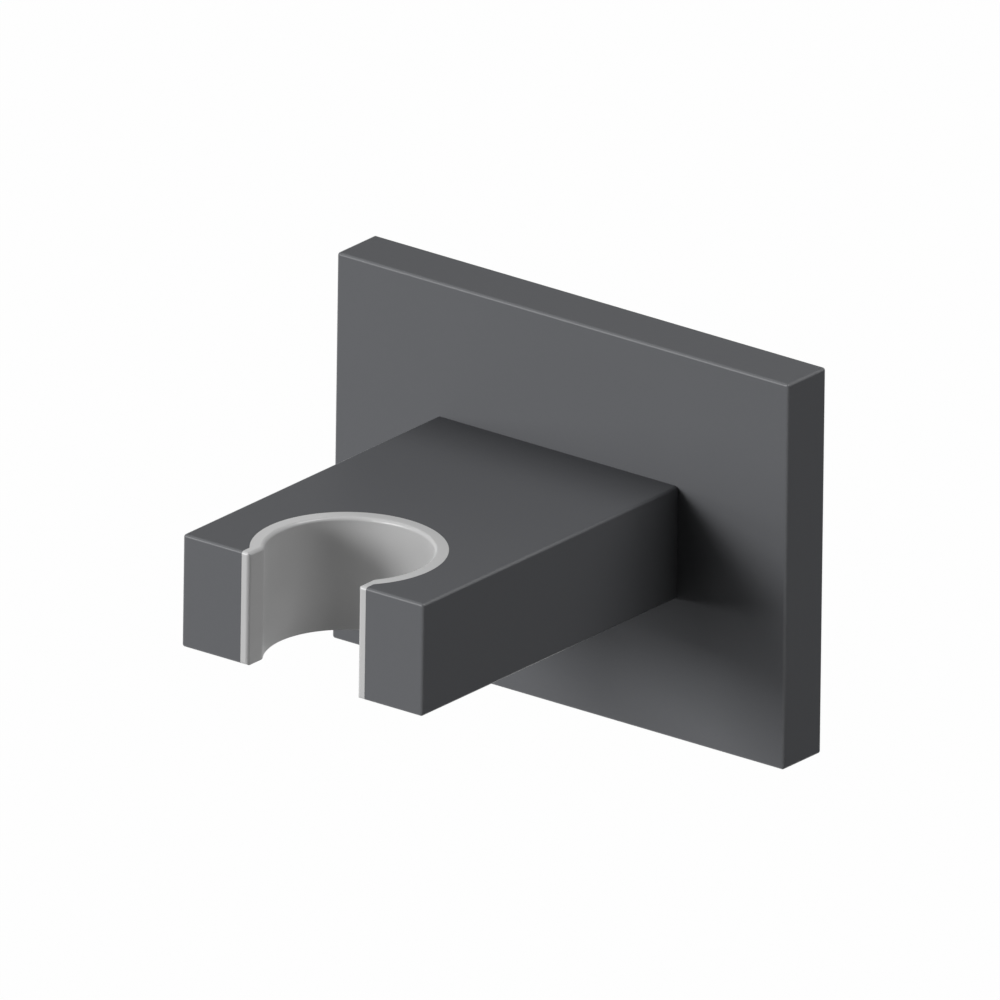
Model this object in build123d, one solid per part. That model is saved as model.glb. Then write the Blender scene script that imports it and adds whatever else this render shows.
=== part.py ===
from build123d import *

import os

# Hand shower holder for a wall. Millimetres, +Z up, +X to the right, +Y into the wall.
# The origin is the centre of the wall plate's back face, so the wall is the plane Y = 0.

# Wall plate
plate_width = 75.1
plate_height = 54.65
plate_depth = 8.2
plate_front_wall = 3.2
plate_side_wall = 3.0
recess_corner = 2.0
edge_radius = 0.4

# Arm, square to the plate and slightly off its centre
arm_width = 40.0
arm_height = 15.95
arm_length = 55.0
arm_offset_x = -0.5
arm_offset_z = 0.45

# Round seat, a hair off the arm's centre, with a slot that is open to the front
seat_radius = 11.24
seat_setback = 9.8
seat_offset_x = 0.11
slot_width = 18.2
lip_radius = 1.2

# Plastic liner of the seat, held by a bead that snaps into a groove of the arm
liner_wall = 1.91
lip_wall = 1.225
liner_edge_radius = 0.5
liner_gap = 0.02
contact = 0.001
bead_height = 3.0
bead_depth = 0.5
bead_half_angle = 100.0
groove_gap = 0.05
groove_end_angle = 1.0

# Wall bracket inside the plate's recess
bracket_front_gap = 1.0
bracket_side_gap = 0.4
bracket_bottom_gap = 0.5
bracket_hole_spacing = 40.0
bracket_hole_radius = 2.5
bracket_sink_radius = 4.8

# Hook of the plate behind the bracket's top edge
hook_width = 36.0
hook_reach = 1.6
hook_thickness = 1.3
hook_gap = 0.1

# Countersunk screws that hold the arm on the plate, as far in from the arm's sides as the margin says
arm_screw_margin = 8.0
arm_screw_radius = 2.0
arm_screw_length = 12.0
arm_screw_head_radius = 4.0
arm_screw_head_rim = 0.3
arm_screw_socket = 2.5
arm_screw_socket_depth = 1.6
arm_hole_spare = 2.0
screw_hole_gap = 0.15
screw_seat_gap = 0.02

# Set screws through the plate's bottom wall, as far in from the bracket's ends as the margin says
set_screw_margin = 12.1
set_screw_radius = 2.0
set_screw_inset = 3.1
set_screw_bite = 0.8
set_screw_recess = 0.3
set_screw_socket = 2.0
set_screw_socket_depth = 1.2

# Sizes that follow
recess_depth = plate_depth - plate_front_wall
recess_width = plate_width - 2 * plate_side_wall
recess_height = plate_height - 2 * plate_side_wall
plate_bottom = -plate_height / 2
arm_front = -plate_depth - arm_length
arm_top = arm_offset_z + arm_height / 2
arm_bottom = arm_offset_z - arm_height / 2
arm_screw_spacing = arm_width - 2 * arm_screw_margin
seat_x = arm_offset_x + seat_offset_x
seat_y = arm_front + seat_setback
liner_radius = seat_radius + liner_wall
liner_mouth = slot_width + 2 * lip_wall
pocket_radius = liner_radius + liner_gap
pocket_mouth = liner_mouth + 2 * liner_gap
bracket_thickness = recess_depth - bracket_front_gap
bracket_width = recess_width - 2 * bracket_side_gap
bracket_height = recess_height - bracket_bottom_gap
bracket_top = recess_height / 2
bracket_bottom = bracket_top - bracket_height
set_screw_spacing = bracket_width - 2 * set_screw_margin
set_screw_tip = bracket_bottom + set_screw_bite
set_screw_end = plate_bottom + set_screw_recess


def box_between(low, high):
    """Box from its lowest corner to its highest."""
    size = [b - a for a, b in zip(low, high)]
    return Pos(*low) * Box(*size, align=(Align.MIN, Align.MIN, Align.MIN))


def pair(spacing):
    """X places of two like things on each side of the middle."""
    return (-spacing / 2, spacing / 2)


def turned(profile, angle=360.0):
    """Solid turned about the Z axis from a list of (radius, height) points."""
    face = make_face(Polyline(*[(r, 0, z) for r, z in profile], close=True).edges())
    return revolve(face, Axis.Z, angle)


def arm_envelope():
    """Outside form of the arm, with every edge rounded but those that meet the plate."""
    block = box_between(
        (arm_offset_x - arm_width / 2, arm_front, arm_bottom),
        (arm_offset_x + arm_width / 2, -plate_depth, arm_top),
    )
    back_edges = block.faces().sort_by(Axis.Y)[-1].edges()
    return fillet(block.edges() - back_edges, edge_radius)


def keyhole(radius, mouth, corner_radius=0.0):
    """Upright prism of a round seat whose mouth runs out past the arm's front."""
    overrun = 2 * seat_setback
    outline = Circle(radius) + Pos(0, -overrun / 2) * Rectangle(mouth, overrun)
    if corner_radius:
        corners = [spot for spot in outline.vertices() if -radius < spot.Y < 0 and abs(spot.X) < radius]
        outline = fillet(corners, corner_radius)
    return Pos(seat_x, seat_y, arm_bottom) * extrude(outline, arm_height)


def bead_ring(radius, gap, half_angle):
    """Part ring with bevelled flanks round the back of the seat."""
    crest = radius + bead_depth
    root = radius - bead_depth
    foot = bead_height / 2 + gap
    brow = foot - bead_depth
    lower = [(root, -foot), (radius, -foot), (crest, -brow)]
    upper = [(crest, brow), (radius, foot), (root, foot)]
    ring = turned(lower + upper, 2 * half_angle)
    return Pos(seat_x, seat_y, arm_offset_z) * Rot(0, 0, 90 - half_angle) * ring


def arm():
    """Arm with its pocket, the groove for the liner's bead and two screw holes."""
    pocket = keyhole(pocket_radius, pocket_mouth)
    groove = bead_ring(pocket_radius, groove_gap, bead_half_angle + groove_end_angle)
    body = arm_envelope() - pocket - groove
    hole_depth = arm_screw_length - plate_front_wall + arm_hole_spare
    hole = extrude(Circle(arm_screw_radius + screw_seat_gap), hole_depth)
    for x in pair(arm_screw_spacing):
        body -= Pos(arm_offset_x + x, -plate_depth, arm_offset_z) * Rot(90, 0, 0) * hole
    return body


def liner():
    """C-shaped liner, flush with the arm, with its bead and a rounded lead-in at its top and front."""
    seat = keyhole(seat_radius, slot_width, lip_radius)
    blank = keyhole(liner_radius, liner_mouth) & box_between(
        (seat_x - liner_radius, arm_front, arm_bottom),
        (seat_x + liner_radius, -plate_depth, arm_top),
    )
    shell = fillet(lead_in_edges(blank - seat, seat), liner_edge_radius)
    return (shell & arm_envelope()) + bead_ring(liner_radius, 0.0, bead_half_angle)


def lead_in_edges(shell, seat):
    """Edges where the seat's wall ends at the top and at the front, without the seams of the wall."""
    sides = shell.faces().filter_by(Plane.XY, reverse=True)
    walls = [face for face in sides if seat.distance_to(face.center()) < contact]
    edges = [edge for face in walls for edge in face.edges() if edge.center().Z > arm_bottom + contact]
    return [edge for edge in edges if edges.count(edge) == 1]


def countersunk_screw(radius_gap=0.0, head_gap=0.0):
    """Countersunk screw along Z, head up, with the flat of its head at Z = 0."""
    head = arm_screw_head_radius + head_gap
    shank = arm_screw_radius + radius_gap
    cone_end = -arm_screw_head_rim - (head - shank)
    top = [(0, 0), (head, 0), (head, -arm_screw_head_rim)]
    stem = [(shank, cone_end), (shank, -arm_screw_length), (0, -arm_screw_length)]
    return turned(top + stem)


def hex_socket(across, depth):
    """Six-sided socket that goes down from Z = 0."""
    return extrude(RegularPolygon(across / 2, 6, major_radius=False), -depth)


def arm_screw(side_x):
    """One screw in its place, from the floor of the plate's recess into the arm."""
    screw = countersunk_screw() - hex_socket(arm_screw_socket, arm_screw_socket_depth)
    return Pos(arm_offset_x + side_x, -recess_depth, arm_offset_z) * Rot(-90, 0, 0) * screw


def set_screw(side_x):
    """One set screw in its place, socket down and cone point up in the bracket's dimple."""
    cone_start = set_screw_tip - set_screw_radius
    flat_end = [(0, set_screw_end), (set_screw_radius, set_screw_end)]
    cone = [(set_screw_radius, cone_start), (0, set_screw_tip)]
    socket = Rot(180, 0, 0) * hex_socket(set_screw_socket, set_screw_socket_depth)
    body = turned(flat_end + cone) - Pos(0, 0, set_screw_end) * socket
    return Pos(side_x, -set_screw_inset, 0) * body


def wall_plate():
    """Hollow-backed plate with its hook, the arm's screw holes and the set screws' holes."""
    body = box_between(
        (-plate_width / 2, -plate_depth, plate_bottom),
        (plate_width / 2, 0, plate_height / 2),
    )
    body = fillet(body.edges(), edge_radius)
    recess = box_between(
        (-recess_width / 2, -recess_depth, -recess_height / 2),
        (recess_width / 2, 0, recess_height / 2),
    )
    body -= fillet(recess.edges().filter_by(Axis.Y), recess_corner)
    body += box_between(
        (-hook_width / 2, -hook_thickness, recess_height / 2 - hook_reach),
        (hook_width / 2, 0, recess_height / 2),
    )
    sink = countersunk_screw(screw_hole_gap, screw_seat_gap)
    for x in pair(arm_screw_spacing):
        body -= Pos(arm_offset_x + x, -recess_depth, arm_offset_z) * Rot(-90, 0, 0) * sink
    bore = Cylinder(set_screw_radius + screw_seat_gap, 2 * plate_side_wall)
    for x in pair(set_screw_spacing):
        body -= Pos(x, -set_screw_inset, plate_bottom) * bore
    return body


def wall_bracket():
    """Flat bracket with a rebate for the hook, two sunk screw holes and two dimples."""
    body = box_between(
        (-bracket_width / 2, -bracket_thickness, bracket_bottom),
        (bracket_width / 2, 0, bracket_top),
    )
    body = fillet(body.edges().filter_by(Axis.Y), recess_corner)
    body -= box_between(
        (-hook_width / 2 - hook_gap, -hook_thickness - hook_gap, bracket_top - hook_reach - hook_gap),
        (hook_width / 2 + hook_gap, 0, bracket_top),
    )
    slope = bracket_sink_radius - bracket_hole_radius
    sink = [(0, 0), (bracket_sink_radius, 0), (bracket_hole_radius, slope)]
    bore = [(bracket_hole_radius, bracket_thickness), (0, bracket_thickness)]
    sunk_hole = turned(sink + bore)
    for x in pair(bracket_hole_spacing):
        body -= Pos(x, -bracket_thickness, 0) * Rot(-90, 0, 0) * sunk_hole
    dimple_depth = set_screw_bite + screw_seat_gap
    dimple = turned([(0, 0), (dimple_depth, 0), (0, dimple_depth)])
    for x in pair(set_screw_spacing):
        body -= Pos(x, -set_screw_inset, bracket_bottom) * dimple
    return body


def pieces():
    """Every piece of the holder by its name."""
    left, right = pair(arm_screw_spacing)
    set_left, set_right = pair(set_screw_spacing)
    return {
        "wall_plate": wall_plate(),
        "arm": arm(),
        "liner": liner(),
        "wall_bracket": wall_bracket(),
        "arm_screw_left": arm_screw(left),
        "arm_screw_right": arm_screw(right),
        "set_screw_left": set_screw(set_left),
        "set_screw_right": set_screw(set_right),
    }


os.makedirs("parts", exist_ok=True)
for name, solid in pieces().items():
    export_step(solid, f"parts/{name}.step")
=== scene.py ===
"""Looks of the hand shower holder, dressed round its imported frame."""

import logging
from dataclasses import dataclass
from enum import Enum
from math import cos, pi, radians, sin, sqrt

import bmesh
import bpy
from mathutils import Matrix, Vector


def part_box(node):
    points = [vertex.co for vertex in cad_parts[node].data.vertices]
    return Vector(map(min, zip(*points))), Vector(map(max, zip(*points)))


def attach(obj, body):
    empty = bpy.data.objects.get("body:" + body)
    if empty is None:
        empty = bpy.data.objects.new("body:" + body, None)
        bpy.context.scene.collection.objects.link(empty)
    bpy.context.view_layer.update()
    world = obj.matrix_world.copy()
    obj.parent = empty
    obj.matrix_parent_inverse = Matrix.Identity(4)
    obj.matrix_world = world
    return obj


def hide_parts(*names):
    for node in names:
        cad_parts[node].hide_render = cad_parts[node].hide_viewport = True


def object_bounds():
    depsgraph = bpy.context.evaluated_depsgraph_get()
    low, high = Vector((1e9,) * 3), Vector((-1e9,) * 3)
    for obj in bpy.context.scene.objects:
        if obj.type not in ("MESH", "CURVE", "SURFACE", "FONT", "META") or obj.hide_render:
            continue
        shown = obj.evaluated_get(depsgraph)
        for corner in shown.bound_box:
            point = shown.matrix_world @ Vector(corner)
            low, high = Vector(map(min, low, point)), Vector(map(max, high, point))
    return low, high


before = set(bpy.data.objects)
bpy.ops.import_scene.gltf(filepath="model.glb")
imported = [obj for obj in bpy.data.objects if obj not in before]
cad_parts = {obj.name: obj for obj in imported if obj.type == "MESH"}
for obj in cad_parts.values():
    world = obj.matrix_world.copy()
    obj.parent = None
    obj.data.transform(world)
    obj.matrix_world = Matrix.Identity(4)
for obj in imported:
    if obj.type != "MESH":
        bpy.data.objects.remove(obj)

log = logging.getLogger("hand_shower_holder")
cad_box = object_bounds()

ORIGIN = Vector((0.0, 0.0, 0.0))
UP = Vector((0.0, 0.0, 1.0))
WHITE = (1.0, 1.0, 1.0, 1.0)


class Socket:
    """A shader value that takes part in sums, so that maths reads as maths."""

    def __init__(self, shader: "Shader", link: bpy.types.NodeSocket) -> None:
        """Wraps one output.

        Args:
            shader: The material that the output belongs to.
            link: The output itself.
        """
        self.shader = shader
        self.link = link

    def _math(self, operation: str, first: "Socket | float", second: "Socket | float") -> "Socket":
        """Adds one Math node and returns its result.

        Args:
            operation: Blender's name of the operation.
            first: The upper value.
            second: The lower value.

        Returns:
            The result as a value that can be used further.
        """
        return self.shader.node("ShaderNodeMath", {"operation": operation}, {0: first, 1: second})

    def __add__(self, other: "Socket | float") -> "Socket":
        """Sum of two values."""
        return self._math("ADD", self, other)

    def __radd__(self, other: float) -> "Socket":
        """Sum with a plain number on the left."""
        return self._math("ADD", other, self)

    def __sub__(self, other: "Socket | float") -> "Socket":
        """Difference of two values."""
        return self._math("SUBTRACT", self, other)

    def __rsub__(self, other: float) -> "Socket":
        """Difference with a plain number on the left."""
        return self._math("SUBTRACT", other, self)

    def __mul__(self, other: "Socket | float") -> "Socket":
        """Product of two values."""
        return self._math("MULTIPLY", self, other)

    def __rmul__(self, other: float) -> "Socket":
        """Product with a plain number on the left."""
        return self._math("MULTIPLY", other, self)

    def larger(self, other: "Socket | float") -> "Socket":
        """The larger of two values."""
        return self._math("MAXIMUM", self, other)

    def smaller(self, other: "Socket | float") -> "Socket":
        """The smaller of two values."""
        return self._math("MINIMUM", self, other)

    def share(self) -> "Socket":
        """The value held between 0 and 1."""
        return self.larger(0.0).smaller(1.0)


class Shader:
    """The emptied node tree of a material or of the room, and a method that adds its nodes."""

    def __init__(self, owner: bpy.types.Material | bpy.types.World) -> None:
        """Empties the tree.

        Args:
            owner: The new material, or the world, that the nodes are for.
        """
        owner.use_nodes = True
        self.owner = owner
        self.tree = owner.node_tree
        self.tree.nodes.clear()

    def node(self, kind: str, settings: dict | None = None, inputs: dict | None = None,
             output: int | str | None = 0) -> Socket | None:
        """Adds any node.

        Args:
            kind: The node's type name.
            settings: Properties that are set first, such as an operation.
            inputs: Values or links of the node's sockets, by index or name.
            output: Which output is handed back, or None for a node that has none.

        Returns:
            The chosen output, or None.
        """
        made = self.tree.nodes.new(kind)
        for key, value in (settings or {}).items():
            setattr(made, key, value)
        for key, value in (inputs or {}).items():
            if isinstance(value, Socket):
                self.tree.links.new(value.link, made.inputs[key])
            else:
                made.inputs[key].default_value = value
        return None if output is None else Socket(self, made.outputs[output])

    def place(self, scale: tuple[float, float, float] = (1.0, 1.0, 1.0)) -> Socket:
        """The piece's own coordinates in metres, stretched along its axes.

        Args:
            scale: How much finer a pattern gets along X, Y and Z.

        Returns:
            The coordinates.
        """
        spot = self.node("ShaderNodeTexCoord", output="Object")
        inputs = {"Vector": spot, "Scale": scale}
        return self.node("ShaderNodeMapping", {"vector_type": "POINT"}, inputs)

    def vector(self, operation: str, first: "Socket | Vector", second: "Socket | Vector") -> Socket:
        """Adds one Vector Math node.

        Args:
            operation: Blender's name of the operation.
            first: The upper vector.
            second: The lower vector.

        Returns:
            The resulting vector.
        """
        inputs = {0: first, 1: second}
        return self.node("ShaderNodeVectorMath", {"operation": operation}, inputs, "Vector")

    def rounded_edges(self, low: Vector, high: Vector, radius: float) -> Socket:
        """Finds the rounded edges of a box-shaped piece.

        A point is on a rounding where two of its three distances from the middle reach into the
        outermost radius, so the second largest of the three tells how far it is inside one.

        Args:
            low: The box's lowest corner.
            high: The box's highest corner.
            radius: The radius of the rounding.

        Returns:
            1 at the middle of a rounding and 0 on the flat faces.
        """
        inner = (high - low) / 2 - Vector((radius, radius, radius))
        place = self.node("ShaderNodeTexCoord", output="Object")
        spot = self.vector("SUBTRACT", place, (low + high) / 2)
        past = self.vector("SUBTRACT", self.vector("ABSOLUTE", spot, spot), inner)
        x, y, z = (self.node("ShaderNodeSeparateXYZ", None, {0: past}, axis) for axis in "XYZ")
        second = x.smaller(y).larger(y.smaller(z)).larger(x.smaller(z))
        return (second * (sqrt(2.0) / radius)).share()

    def noise(self, spot: Socket, per_metre: float, detail: float = 2.0) -> Socket:
        """Smooth noise from 0 to 1.

        Args:
            spot: Where the noise is read.
            per_metre: How many blotches lie along a metre.
            detail: How many finer layers are laid over it.

        Returns:
            The noise.
        """
        return self.node("ShaderNodeTexNoise", {"noise_dimensions": "3D"},
                         {"Vector": spot, "Scale": per_metre, "Detail": detail}, "Fac")

    def blend(self, share: Socket, first: "Socket | tuple[float, ...]",
              second: "Socket | tuple[float, ...]") -> Socket:
        """Colour between two colours.

        Args:
            share: 0 for the first colour and 1 for the second.
            first: The first colour.
            second: The second colour.

        Returns:
            The mixed colour.
        """
        low, high = (c if isinstance(c, Socket) else (*c, 1.0) for c in (first, second))
        inputs = {"Factor": share, "A": low, "B": high}
        return self.node("ShaderNodeMix", {"data_type": "RGBA"}, inputs, "Result")

    def bump(self, height: Socket, depth: float) -> Socket:
        """Relief of the surface.

        Args:
            height: The relief from 0 to 1.
            depth: How deep it is in metres.

        Returns:
            The bent normal.
        """
        return self.node("ShaderNodeBump", None, {"Height": height, "Strength": 1.0, "Distance": depth})

    def surface(self, **inputs: "Socket | float | tuple") -> bpy.types.Material:
        """Closes the material with one Principled shader.

        Args:
            **inputs: The shader's sockets, with underscores for the spaces of their names.

        Returns:
            The finished material.
        """
        named = {key.replace("_", " "): value for key, value in inputs.items()}
        self.finish(self.node("ShaderNodeBsdfPrincipled", None, named))
        return self.owner

    def finish(self, shader: Socket) -> None:
        """Links a shader to the material's output."""
        self.node("ShaderNodeOutputMaterial", None, {"Surface": shader}, None)


def shades(colour: tuple[float, ...], spread: float) -> tuple[tuple[float, ...], tuple[float, ...]]:
    """A darker and a lighter shade of a colour.

    Args:
        colour: The colour between the two.
        spread: How far each lies from it, as a share of it.

    Returns:
        The darker shade and the lighter one.
    """
    dark = tuple(part * (1.0 - spread) for part in colour)
    light = tuple(part * (1.0 + spread) for part in colour)
    return dark, light


def swing(middle: float, spread: float, pattern: Socket) -> Socket:
    """A value that a pattern moves up and down.

    Args:
        middle: The value where the pattern is halfway.
        spread: How far apart its lowest and its highest value lie.
        pattern: The pattern from 0 to 1.

    Returns:
        The value.
    """
    return (middle - spread / 2) + spread * pattern


@dataclass(frozen=True)
class CoatedMetal:
    """Matt dark grey powder coat over metal, with a fine orange peel and edges that look polished."""

    name: str = "coated_metal"
    colour: tuple[float, float, float] = (0.115, 0.118, 0.125)
    tint: float = 0.03
    gloss: float = 0.03
    roughness: float = 0.46
    roughness_spread: float = 0.05
    peel_per_metre: float = 1500.0
    peel_depth: float = 0.0000025
    cloud_per_metre: float = 45.0
    cloud_detail: float = 3.0
    cloud_share: float = 0.6
    edge_polish: float = 0.9
    edge_roughness: float = 0.35

    def material(self, piece: str, low: Vector, high: Vector, edge_radius: float) -> bpy.types.Material:
        """Builds the finish for one box-shaped piece.

        Args:
            piece: The piece's name.
            low: The lowest corner of its box.
            high: The highest corner of its box.
            edge_radius: The rounding of its edges.

        Returns:
            The finish.
        """
        shader = Shader(bpy.data.materials.new(f"{self.name}_{piece}"))
        spot = shader.place()
        peel = shader.noise(spot, self.peel_per_metre)
        cloud = shader.noise(spot, self.cloud_per_metre, self.cloud_detail)
        mottle = self.cloud_share * cloud + (1.0 - self.cloud_share) * peel
        return shader.surface(
            Base_Color=shader.blend(mottle, *shades(self.colour, self.tint)),
            Roughness=swing(self.roughness, self.roughness_spread, cloud),
            Specular_IOR_Level=self.gloss,
            Coat_Weight=self.edge_polish * shader.rounded_edges(low, high, edge_radius),
            Coat_Roughness=self.edge_roughness,
            Normal=shader.bump(peel, self.peel_depth),
        )


@dataclass(frozen=True)
class MouldedPlastic:
    """Satin light grey plastic, with a painted highlight that turns its colour paler round the top rim.
    """

    name: str = "liner_plastic"
    colour: tuple[float, float, float] = (0.43, 0.43, 0.43)
    # Paler colour painted over the rim as a highlight, not the plastic's own colour.
    rim_highlight_colour: tuple[float, float, float] = (0.58, 0.58, 0.58)
    tint: float = 0.015
    gloss: float = 0.05
    polish: float = 1.0
    polish_roughness: float = 0.36
    roughness: float = 0.42
    roughness_spread: float = 0.05
    grain_per_metre: float = 2600.0
    grain_depth: float = 0.0000015
    cloud_per_metre: float = 120.0

    def material(self, top: float, lead_in: float) -> bpy.types.Material:
        """Builds the finish, with a painted highlight: the colour gets paler over the rounding below
        the rim.

        Args:
            top: The height of the rim.
            lead_in: The rounding between the rim and the seat's wall.

        Returns:
            The finish.
        """
        shader = Shader(bpy.data.materials.new(self.name))
        spot = shader.place()
        grain = shader.noise(spot, self.grain_per_metre)
        cloud = shader.noise(spot, self.cloud_per_metre)
        plain = shader.blend(cloud, *shades(self.colour, self.tint))
        height = shader.node("ShaderNodeSeparateXYZ", None, {0: spot}, "Z")
        # Painted highlight: the base colour turns paler towards the rim, standing in for light that
        # catches it.
        painted_rim_highlight = ((height - (top - lead_in)) * (1.0 / lead_in)).share()
        return shader.surface(
            Base_Color=shader.blend(painted_rim_highlight, plain, self.rim_highlight_colour),
            Roughness=swing(self.roughness, self.roughness_spread, cloud),
            Specular_IOR_Level=self.gloss,
            Coat_Weight=self.polish,
            Coat_Roughness=self.polish_roughness,
            Normal=shader.bump(grain, self.grain_depth),
        )


@dataclass(frozen=True)
class BrushedSteel:
    """Steel with fine scratches, which are drawn out along an axis with a small stretch."""

    name: str = "bracket_steel"
    colour: tuple[float, float, float] = (0.52, 0.52, 0.53)
    tint: float = 0.2
    roughness: float = 0.3
    roughness_spread: float = 0.18
    stretch: tuple[float, float, float] = (0.02, 1.0, 1.0)
    scratch_per_metre: float = 5000.0
    scratch_detail: float = 4.0
    scratch_depth: float = 0.000003

    def material(self) -> bpy.types.Material:
        """Builds the finish.

        Returns:
            The finish.
        """
        shader = Shader(bpy.data.materials.new(self.name))
        spot = shader.place(self.stretch)
        scratch = shader.noise(spot, self.scratch_per_metre, self.scratch_detail)
        return shader.surface(
            Base_Color=shader.blend(scratch, *shades(self.colour, self.tint)),
            Roughness=swing(self.roughness, self.roughness_spread, scratch),
            Metallic=1.0,
            Normal=shader.bump(scratch, self.scratch_depth),
        )


@dataclass(frozen=True)
class SoftLamp:
    """A rectangular soft light that looks at the holder."""

    name: str
    azimuth: float
    elevation: float
    watts: float
    width: float
    height: float
    distance: float = 1.8

    def place(self, target: Vector) -> None:
        """Hangs the lamp in the studio.

        Args:
            target: The point that the lamp looks at.
        """
        data = bpy.data.lights.new(self.name, "AREA")
        data.shape = "RECTANGLE"
        data.size = self.width
        data.size_y = self.height
        data.energy = self.watts
        lamp = bpy.data.objects.new(self.name, data)
        back = direction(self.azimuth, self.elevation)
        lamp.location = target + back * self.distance
        lamp.rotation_mode = "QUATERNION"
        lamp.rotation_quaternion = (-back).to_track_quat("-Z", "Y")
        bpy.context.scene.collection.objects.link(lamp)


def direction(azimuth: float, elevation: float) -> Vector:
    """Way from the holder to something that looks at it.

    Args:
        azimuth: Degrees round the Z axis, where 0 stands in front and looks along +Y.
        elevation: Degrees above the horizon.

    Returns:
        A vector one metre long.
    """
    turn, rise = radians(azimuth), radians(elevation)
    return Vector((sin(turn) * cos(rise), -cos(turn) * cos(rise), sin(rise)))


@dataclass(frozen=True)
class PhotoView:
    """The photograph's view: parallel rays, turned to the right and looking down."""

    azimuth: float = 37.325
    elevation: float = 21.507
    roll: float = 0.771
    pixels_per_metre: float = 7587.0
    picture_pixels: float = 1000.0
    origin_pixel_x: float = 597.99
    origin_pixel_y: float = 493.82
    distance: float = 0.35

    def place_camera(self) -> None:
        """Makes the camera and hands it to the scene."""
        data = bpy.data.cameras.new("photo_view")
        data.type = "ORTHO"
        data.ortho_scale = self.picture_pixels / self.pixels_per_metre
        back = direction(self.azimuth, self.elevation)
        level = UP.cross(back).normalized()
        rise = back.cross(level)
        turn = radians(self.roll)
        right = level * cos(turn) + rise * sin(turn)
        up = rise * cos(turn) - level * sin(turn)
        middle = self.picture_pixels / 2
        place = (
            right * ((middle - self.origin_pixel_x) / self.pixels_per_metre)
            + up * ((self.origin_pixel_y - middle) / self.pixels_per_metre)
            + back * self.distance
        )
        camera = bpy.data.objects.new("photo_view", data)
        camera.matrix_world = Matrix((right, up, back)).transposed().to_4x4()
        camera.location = place
        bpy.context.scene.collection.objects.link(camera)
        bpy.context.scene.camera = camera


def dress(node: str, material: bpy.types.Material) -> None:
    """Gives a CAD node its finish.

    Args:
        node: The node's name.
        material: The finish for all of it.
    """
    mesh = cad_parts[node].data
    mesh.materials.clear()
    mesh.materials.append(material)
    log.info("%s wears %s", node, material.name)


@dataclass
class HolderBody:
    """The coated pieces that show: the wall plate and the arm."""

    plate: str = "wall_plate"
    arm: str = "arm"
    edge_radius: float = 0.0004
    finish: CoatedMetal = CoatedMetal()

    def build(self) -> None:
        """Dresses the plate and the arm.

        The arm's box is carried on to the wall, because its end on the plate has no rounding.
        """
        low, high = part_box(self.plate)
        dress(self.plate, self.finish.material(self.plate, low, high, self.edge_radius))
        wall = high.y
        low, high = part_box(self.arm)
        high.y = wall
        dress(self.arm, self.finish.material(self.arm, low, high, self.edge_radius))


@dataclass
class SeatLiner:
    """The plastic insert of the round seat."""

    node: str = "liner"
    lead_in: float = 0.0005
    finish: MouldedPlastic = MouldedPlastic()

    def build(self) -> None:
        """Dresses the liner."""
        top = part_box(self.node)[1].z
        dress(self.node, self.finish.material(top, self.lead_in))


class Head(Enum):
    """Driven end of a screw."""

    COUNTERSUNK = "countersunk"
    HEADLESS = "headless"


class Tip(Enum):
    """Far end of a screw."""

    CHAMFERED = "chamfered"
    CONE = "cone"


class Facing(Enum):
    """Way that a screw's socket looks, as degrees about the X axis from straight up."""

    WALL = -90.0
    DOWN = 180.0


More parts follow.
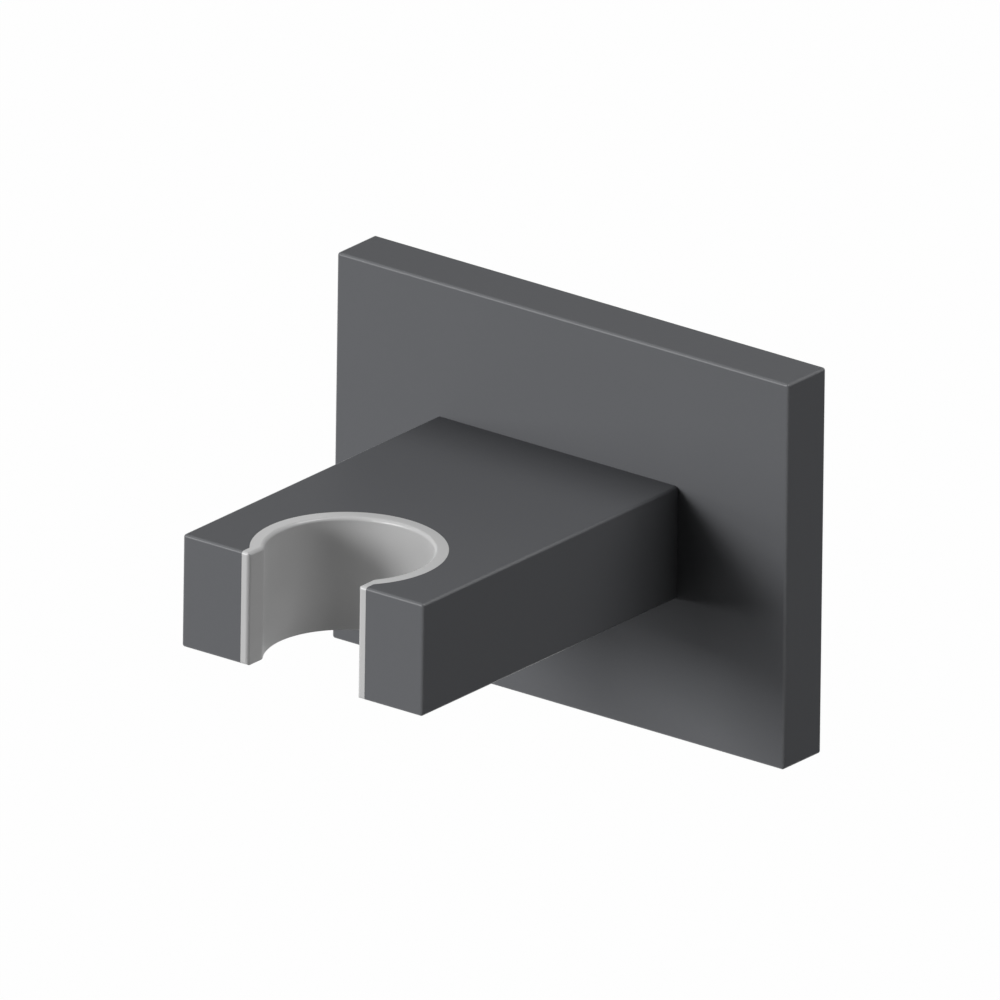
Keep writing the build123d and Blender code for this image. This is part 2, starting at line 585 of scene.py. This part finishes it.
@dataclass
class Screw:
    """A steel screw with a six-sided socket and a rolled thread.

    It is made along Z with the socket up and its top at Z = 0, and then turned into its place.
    """

    node: str
    head: Head
    tip: Tip
    facing: Facing
    socket_across: float
    socket_depth: float
    socket_sides: int = 6
    stem_radius: float = 0.002
    head_rim: float = 0.0003
    rim_rounding: float = 0.00008
    rim_degrees: float = 30.0
    rim_steps: int = 3
    socket_lead_in: float = 0.00012
    drill_point: float = 0.0003
    pitch: float = 0.0007
    thread_depth: float = 0.0004
    thread_foot_share: float = 0.45
    crest: float = 0.00008
    chamfer: float = 0.0004
    sides: int = 48
    thread_steps: int = 24
    merge_distance: float = 1e-8
    sharp_degrees: float = 35.0

    def build(self, finish: bpy.types.Material) -> None:
        """Makes the screw in place of its CAD node.

        Args:
            finish: The steel.
        """
        low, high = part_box(self.node)
        turn = Matrix.Rotation(radians(self.facing.value), 4, "X")
        axis = turn @ UP
        length = abs((high - low).dot(axis))
        widest = (high.x - low.x) / 2
        mesh = bmesh.new()
        self.turn_body(mesh, length, widest)
        self.press_socket(mesh)
        self.roll_thread(mesh, length, widest)
        bmesh.ops.remove_doubles(mesh, verts=mesh.verts, dist=self.merge_distance)
        bmesh.ops.recalc_face_normals(mesh, faces=mesh.faces)
        top = (low + high) / 2 + axis * (length / 2)
        bmesh.ops.transform(mesh, matrix=Matrix.Translation(top) @ turn, verts=mesh.verts)
        self.finish(mesh, finish)

    def finish(self, mesh: bmesh.types.BMesh, steel: bpy.types.Material) -> None:
        """Turns the finished mesh into a piece.

        Args:
            mesh: The screw in its place.
            steel: Its material.
        """
        data = bpy.data.meshes.new(f"{self.node}_threaded")
        mesh.to_mesh(data)
        mesh.free()
        data.materials.append(steel)
        data.shade_smooth()
        data.set_sharp_from_angle(angle=radians(self.sharp_degrees))
        piece = bpy.data.objects.new(data.name, data)
        bpy.context.scene.collection.objects.link(piece)
        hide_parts(self.node)
        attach(piece, "root")
        log.info("%s has %d faces", piece.name, len(data.polygons))

    def core(self) -> float:
        """Radius at the bottom of the thread."""
        return self.stem_radius - self.thread_depth

    def socket_corner(self) -> float:
        """Distance of the socket's corners from the axis."""
        return self.socket_across / 2 / cos(pi / self.socket_sides)

    def outline(self, length: float, widest: float) -> list[tuple[float, float]]:
        """Half section from the socket's rim to the tip.

        Args:
            length: The screw's length.
            widest: The radius of its widest part.

        Returns:
            Points of (radius, height).
        """
        points = [(self.socket_corner() + self.socket_lead_in, 0.0)]
        if self.head is Head.COUNTERSUNK:
            points += [(widest, 0.0), (widest, -self.head_rim)]
            points.append((self.core(), -self.head_rim - (widest - self.core())))
        else:
            points += [(self.core() - self.chamfer / 2, 0.0), (self.core(), -self.chamfer / 2)]
        if self.tip is Tip.CONE:
            points.append((self.core(), self.core() - length))
        else:
            points += [(self.core(), self.chamfer - length), (self.core() - self.chamfer, -length)]
        return points + [(0.0, -length)]

    def turn_body(self, mesh: bmesh.types.BMesh, length: float, widest: float) -> None:
        """Turns the body and rounds its rims.

        Args:
            mesh: The mesh that it goes into.
            length: The screw's length.
            widest: The radius of its widest part.
        """
        section = self.outline(length, widest)
        spots = [mesh.verts.new((radius, 0.0, height)) for radius, height in section]
        lines = [mesh.edges.new(pair) for pair in zip(spots, spots[1:])]
        bmesh.ops.spin(mesh, geom=spots + lines, cent=ORIGIN, axis=UP, dvec=ORIGIN, angle=2 * pi,
                       steps=self.sides, use_merge=True, use_duplicate=False)
        bmesh.ops.remove_doubles(mesh, verts=mesh.verts, dist=self.merge_distance)
        inner = [edge for edge in mesh.edges if len(edge.link_faces) == 2]
        rims = [edge for edge in inner if edge.calc_face_angle() > radians(self.rim_degrees)]
        bmesh.ops.bevel(mesh, geom=rims, offset=self.rim_rounding, offset_type="OFFSET",
                        segments=self.rim_steps, profile=0.5, affect="EDGES", material=-1,
                        clamp_overlap=True)

    def press_socket(self, mesh: bmesh.types.BMesh) -> None:
        """Sinks the six-sided socket with its lead-in and the point that the drill left.

        Args:
            mesh: The turned body, open at the top.
        """
        rim = [edge for edge in mesh.edges if edge.is_boundary]
        hexagon = bmesh.ops.create_circle(mesh, cap_ends=False, segments=self.socket_sides,
                                          radius=self.socket_corner())
        edges = (edge for corner in hexagon["verts"] for edge in corner.link_edges)
        sides = list(dict.fromkeys(edges))
        cuts = self.sides // self.socket_sides - 1
        parts = bmesh.ops.subdivide_edges(mesh, edges=sides, cuts=cuts)["geom_split"]
        mouth = [part for part in parts if isinstance(part, bmesh.types.BMEdge)]
        lip = {corner for edge in mouth for corner in edge.verts}
        bmesh.ops.translate(mesh, verts=list(lip), vec=(0.0, 0.0, -self.socket_lead_in))
        bmesh.ops.bridge_loops(mesh, edges=rim + mouth)
        walls = bmesh.ops.extrude_edge_only(mesh, edges=mouth)["geom"]
        floor_ring = [part for part in walls if isinstance(part, bmesh.types.BMVert)]
        sunk = (0.0, 0.0, self.socket_lead_in - self.socket_depth)
        bmesh.ops.translate(mesh, verts=floor_ring, vec=sunk)
        wall_edges = [part for part in walls if isinstance(part, bmesh.types.BMEdge)]
        floor_edges = [edge for edge in wall_edges if edge.is_boundary]
        floor = bmesh.ops.edgeloop_fill(mesh, edges=floor_edges)["faces"]
        point = bmesh.ops.poke(mesh, faces=floor)["verts"][0]
        point.co.z -= self.drill_point

    def roll_thread(self, mesh: bmesh.types.BMesh, length: float, widest: float) -> None:
        """Winds the thread round the stem and lets it run out at both ends.

        Args:
            mesh: The mesh that it goes into.
            length: The screw's length.
            widest: The radius of its widest part.
        """
        if self.head is Head.COUNTERSUNK:
            start = -self.head_rim - (widest - self.stem_radius) - self.pitch
        else:
            start = -self.pitch
        tip_length = self.stem_radius if self.tip is Tip.CONE else self.chamfer
        end = -length + tip_length + self.pitch / 2
        steps = round((start - end) / self.pitch * self.thread_steps)
        crest, foot = self.crest / 2, self.thread_foot_share * self.pitch
        outer, root = self.stem_radius, self.core() - self.crest
        section = [(root, foot), (outer, crest), (outer, -crest), (root, -foot)]
        before = set(mesh.verts)
        spots = [mesh.verts.new((radius, 0.0, start + height)) for radius, height in section]
        ridge = mesh.faces.new(spots)
        bmesh.ops.spin(mesh, geom=[ridge, *ridge.edges, *spots], cent=ORIGIN, axis=UP,
                       dvec=UP * ((end - start) / steps), angle=2 * pi * steps / self.thread_steps,
                       steps=steps, use_duplicate=False)
        run_out = self.pitch / 2
        for spot in set(mesh.verts) - before:
            reach = (min(start - spot.co.z, spot.co.z - end) + run_out / 2) / run_out
            radius = spot.co.xy.length
            kept = root + (radius - root) * max(0.0, min(1.0, reach))
            spot.co.xy *= kept / radius


@dataclass
class WallFixing:
    """What holds the plate on the wall and the arm on the plate."""

    bracket: str = "wall_bracket"
    bracket_finish: BrushedSteel = BrushedSteel()
    screw_finish: BrushedSteel = BrushedSteel(
        name="screw_steel",
        colour=(0.6, 0.6, 0.59),
        stretch=(1.0, 1.0, 1.0),
        scratch_per_metre=900.0,
    )

    def screws(self) -> list[Screw]:
        """Lists the screws.

        Returns:
            The two screws of the arm and the two set screws of the plate.
        """
        sides = ("left", "right")
        arm_screws = [
            Screw(f"arm_screw_{side}", Head.COUNTERSUNK, Tip.CHAMFERED, Facing.WALL,
                  socket_across=0.0025, socket_depth=0.0016)
            for side in sides
        ]
        set_screws = [
            Screw(f"set_screw_{side}", Head.HEADLESS, Tip.CONE, Facing.DOWN,
                  socket_across=0.002, socket_depth=0.0012)
            for side in sides
        ]
        return arm_screws + set_screws

    def build(self) -> None:
        """Dresses the bracket and makes the screws."""
        dress(self.bracket, self.bracket_finish.material())
        steel = self.screw_finish.material()
        for screw in self.screws():
            screw.build(steel)


@dataclass
class Studio:
    """A white floor, a room that looks white and soft lamps."""

    target: Vector
    lamps: tuple[SoftLamp, ...] = (
        SoftLamp("key_lamp", azimuth=-25.5, elevation=15.0, watts=23.0, width=0.5, height=0.5),
        SoftLamp("front_lamp", azimuth=-11.5, elevation=9.0, watts=5.6, width=0.5, height=0.7),
        SoftLamp("side_lamp", azimuth=-42.0, elevation=0.0, watts=9.2, width=0.6, height=0.5),
        SoftLamp("back_lamp", azimuth=118.0, elevation=55.0, watts=4.8, width=0.55, height=0.4,
                 distance=0.9),
        SoftLamp("right_lamp", azimuth=130.0, elevation=12.0, watts=0.6, width=0.5, height=0.4,
                 distance=0.9),
    )
    room_light: float = 0.0
    floor_height: float = -0.6
    floor_half: float = 3.0
    floor_grey: float = 0.2
    show_white: float = 0.99

    def build(self) -> None:
        """Makes the floor, the room and the lamps."""
        self.floor()
        self.room()
        for lamp in self.lamps:
            lamp.place(self.target)
            log.info("%s at %.1f W", lamp.name, lamp.watts)

    def floor(self) -> None:
        """Lays a wide floor that looks white and still takes a little of the holder's shadow."""
        mesh = bpy.data.meshes.new("studio_floor")
        sheet = bmesh.new()
        bmesh.ops.create_grid(sheet, x_segments=1, y_segments=1, size=self.floor_half,
                              matrix=Matrix.Translation((0.0, 0.0, self.floor_height)))
        sheet.to_mesh(mesh)
        sheet.free()
        floor = bpy.data.objects.new("studio_floor", mesh)
        bpy.context.scene.collection.objects.link(floor)
        mesh.materials.append(self.floor_material())

    def floor_material(self) -> bpy.types.Material:
        """Builds grey paint that the camera and gloss see as white, but for a small share.

        Returns:
            The floor's finish.
        """
        shader = Shader(bpy.data.materials.new("studio_floor"))
        grey = (self.floor_grey, self.floor_grey, self.floor_grey, 1.0)
        paint = shader.node("ShaderNodeBsdfDiffuse", None, {"Color": grey})
        glow = shader.node("ShaderNodeEmission", None, {"Color": WHITE, "Strength": 1.0})
        share = self.show_white * self.seen(shader)
        shader.finish(shader.node("ShaderNodeMixShader", None, {0: share, 1: paint, 2: glow}))
        return shader.owner

    def seen(self, shader: Shader) -> Socket:
        """Tells the rays that see a surface from those that light something matt.

        Args:
            shader: The material or the room that asks.

        Returns:
            1 for the rays by which the camera, gloss or glass sees a surface, and 0 for others.
        """
        ray = "ShaderNodeLightPath"
        camera = shader.node(ray, output="Is Camera Ray")
        gloss = shader.node(ray, output="Is Glossy Ray")
        through = shader.node(ray, output="Is Transmission Ray")
        return camera.larger(gloss).larger(through)

    def room(self) -> None:
        """Makes a room that lights nothing matt, but that the camera and gloss see as white."""
        world = bpy.data.worlds.new("studio_room")
        room = Shader(world)
        seen = self.seen(room)
        soft = room.node("ShaderNodeBackground", None, {"Color": WHITE, "Strength": self.room_light})
        bright = room.node("ShaderNodeBackground", None, {"Color": WHITE, "Strength": 1.0})
        both = room.node("ShaderNodeMixShader", None, {0: seen, 1: soft, 2: bright})
        room.node("ShaderNodeOutputWorld", None, {"Surface": both}, None)
        bpy.context.scene.world = world


def main() -> None:
    """Builds the holder's looks, the studio and the camera."""
    logging.basicConfig(level=logging.INFO)
    bpy.context.scene.view_settings.view_transform = "Standard"
    for part in (HolderBody(), SeatLiner(), WallFixing()):
        part.build()
    low, high = cad_box
    Studio(target=(low + high) / 2).build()
    PhotoView().place_camera()


if __name__ == "__main__":
    main()
